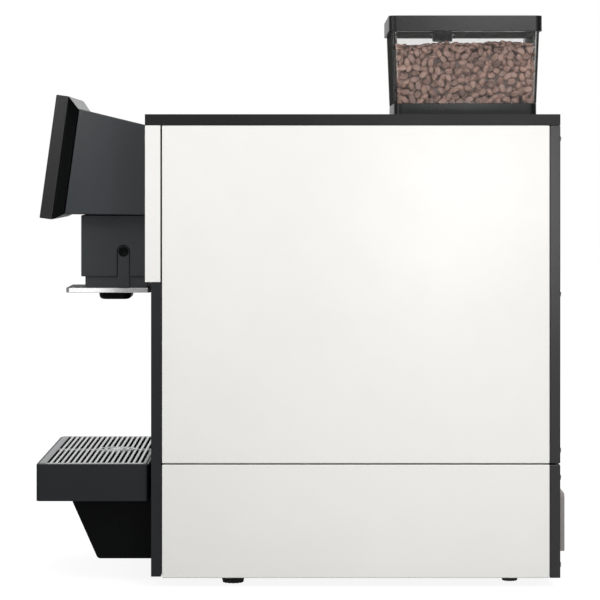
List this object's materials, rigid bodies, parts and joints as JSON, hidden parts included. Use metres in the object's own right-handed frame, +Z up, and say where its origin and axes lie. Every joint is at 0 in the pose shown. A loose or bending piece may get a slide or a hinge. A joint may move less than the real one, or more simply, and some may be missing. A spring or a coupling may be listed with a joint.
{
  "type": "bean to cup coffee machine",
  "caption": "Countertop machine that grinds beans, brews coffee under pressure and pours it from a height-adjustable spout over a slotted drip tray.",
  "frame": {"origin": "on the ground, under the middle of the machine's outline", "axes": "+Z up, the display, spout and drip tray face -Y, the machine's right side as the picture shows it is +X"},
  "size_m": [0.325, 0.6012, 0.6395],
  "materials": {
    "white_paint": "smooth satin powder coat",
    "cover_plastic": "fine matt grain",
    "anthracite_plastic": "satin, fine grain",
    "dark_plastic": "satin, fine grain",
    "black_plastic": "satin black",
    "display_glass": "dark touch glass",
    "bright_metal": "polished edge",
    "steel": "brushed",
    "cast_housing": "cast and painted",
    "clear_plastic": "clear, lightly smoked",
    "lid_plastic": "satin",
    "coffee_beans": "roasted, slightly oily",
    "taupe_plastic": "matt",
    "rubber": "moulded",
    "brass": "turned",
    "circuit_board": "solder mask",
    "hose_rubber": "silicone"
  },
  "bodies": {
    "chassis": {"base_pan": "steel", "front_post_left": "steel", "front_post_right": "steel", "component_deck": "steel", "top_frame": "steel", "side_panel_left_upper": "white_paint", "side_panel_right_upper": "white_paint", "side_panel_left_lower": "white_paint", "side_panel_right_lower": "white_paint", "top_cover": "cover_plastic", "rear_cover_upper": "dark_plastic", "rear_cover_lower": "dark_plastic", "connection_cover": "taupe_plastic", "splash_wall": "dark_plastic", "tray_support": "black_plastic", "grinder_housing": "cast_housing", "upper_burr": "steel", "grinder_motor": "cast_housing", "grounds_chute": "dark_plastic", "brew_frame": "steel", "brew_cylinder": "dark_plastic", "brew_motor": "cast_housing", "boiler": "steel", "pump": "cast_housing", "water_inlet": "brass", "mains_inlet": "black_plastic", "control_board": "circuit_board", "fan_frame": "black_plastic", "feed_hose": "hose_rubber", "brew_hose": "hose_rubber"},
    "foot_front_left": {"levelling_foot_front_left": "rubber"},
    "foot_front_right": {"levelling_foot_front_right": "rubber"},
    "foot_rear_left": {"levelling_foot_rear_left": "rubber"},
    "foot_rear_right": {"levelling_foot_rear_right": "rubber"},
    "door": {"door_panel": "white_paint", "door_liner": "dark_plastic", "door_hinge_pin_upper": "steel", "door_hinge_pin_lower": "steel", "display_bezel": "black_plastic", "display_glass": "display_glass", "display_back": "black_plastic", "head_housing": "anthracite_plastic", "spout_housing": "anthracite_plastic"},
    "spout": {"spout_slider": "anthracite_plastic", "spout_plate": "bright_metal", "spout_nozzle": "black_plastic"},
    "tray": {"drip_tray": "dark_plastic"},
    "grille": {"drip_grille": "steel"},
    "drawer": {"grounds_container": "dark_plastic"},
    "hopper": {"hopper_container": "clear_plastic", "hopper_base": "lid_plastic", "coffee_beans": "coffee_beans"},
    "gate": {"hopper_gate": "steel"},
    "lid": {"hopper_lid": "lid_plastic"},
    "lock": {"lid_lock": "black_plastic"},
    "burr": {"lower_burr": "steel"},
    "piston": {"brew_piston": "dark_plastic"},
    "spindle": {"brew_spindle": "steel"},
    "fan": {"fan_rotor": "black_plastic"},
    "rocker": {"mains_switch": "black_plastic"}
  },
  "joints": [
    {"name": "door_hinge", "type": "hinge", "parent": "chassis", "child": "door", "pos_m": [-0.156, -0.1662, 0.426], "axis": [0, 0, -1], "range_deg": [0, 90]},
    {"name": "spout_slide", "type": "slide", "parent": "door", "child": "spout", "axis": [0, 0, -1], "range_m": [0, 0.06]},
    {"name": "tray_slide", "type": "slide", "parent": "chassis", "child": "tray", "axis": [0, -1, 0], "range_m": [0, 0.12]},
    {"name": "grille_lift", "type": "slide", "parent": "tray", "child": "grille", "axis": [0, 0, 1], "range_m": [0, 0.02]},
    {"name": "drawer_slide", "type": "slide", "parent": "chassis", "child": "drawer", "axis": [0, -1, 0], "range_m": [0, 0.18]},
    {"name": "hopper_lift", "type": "slide", "parent": "chassis", "child": "hopper", "axis": [0, 0, 1], "range_m": [0, 0.06]},
    {"name": "gate_slide", "type": "slide", "parent": "hopper", "child": "gate", "axis": [0, -1, 0], "range_m": [0, 0.036]},
    {"name": "lid_lift", "type": "slide", "parent": "hopper", "child": "lid", "axis": [0, 0, 1], "range_m": [0, 0.05]},
    {"name": "lock_turn", "type": "hinge", "parent": "lid", "child": "lock", "pos_m": [0, 0.1616, 0.63], "axis": [0, 0, 1], "range_deg": [0, 90]},
    {"name": "burr_spin", "type": "hinge", "parent": "chassis", "child": "burr", "pos_m": [0, 0.1836, 0.44], "axis": [0, 0, 1], "continuous": true},
    {"name": "spindle_turn", "type": "hinge", "parent": "chassis", "child": "spindle", "pos_m": [0.06, -0.0482, 0.33], "axis": [0, 0, 1], "range_deg": [-10, 1450]},
    {"name": "piston_press", "type": "slide", "parent": "chassis", "child": "piston", "axis": [0, 0, -1], "range_m": [0, 0.055]},
    {"name": "fan_spin", "type": "hinge", "parent": "chassis", "child": "fan", "pos_m": [0.07, 0.265, 0.43], "axis": [0, 1, 0], "continuous": true},
    {"name": "switch_rock", "type": "hinge", "parent": "chassis", "child": "rocker", "pos_m": [-0.112, 0.28245, 0.104], "axis": [1, 0, 0], "range_deg": [-9, 9]},
    {"name": "foot_turn_front_left", "type": "hinge", "parent": "chassis", "child": "foot_front_left", "pos_m": [-0.1195, -0.0804, 0.01], "axis": [0, 0, 1], "continuous": true},
    {"name": "foot_turn_front_right", "type": "hinge", "parent": "chassis", "child": "foot_front_right", "pos_m": [0.1195, -0.0804, 0.01], "axis": [0, 0, 1], "continuous": true},
    {"name": "foot_turn_rear_left", "type": "hinge", "parent": "chassis", "child": "foot_rear_left", "pos_m": [-0.1065, 0.2318, 0.01], "axis": [0, 0, 1], "continuous": true},
    {"name": "foot_turn_rear_right", "type": "hinge", "parent": "chassis", "child": "foot_rear_right", "pos_m": [0.1065, 0.2318, 0.01], "axis": [0, 0, 1], "continuous": true}
  ],
  "couplings": [
    {"joint": "spindle_turn", "follows": "piston_press", "rad_per_m": 456.9}
  ]
}
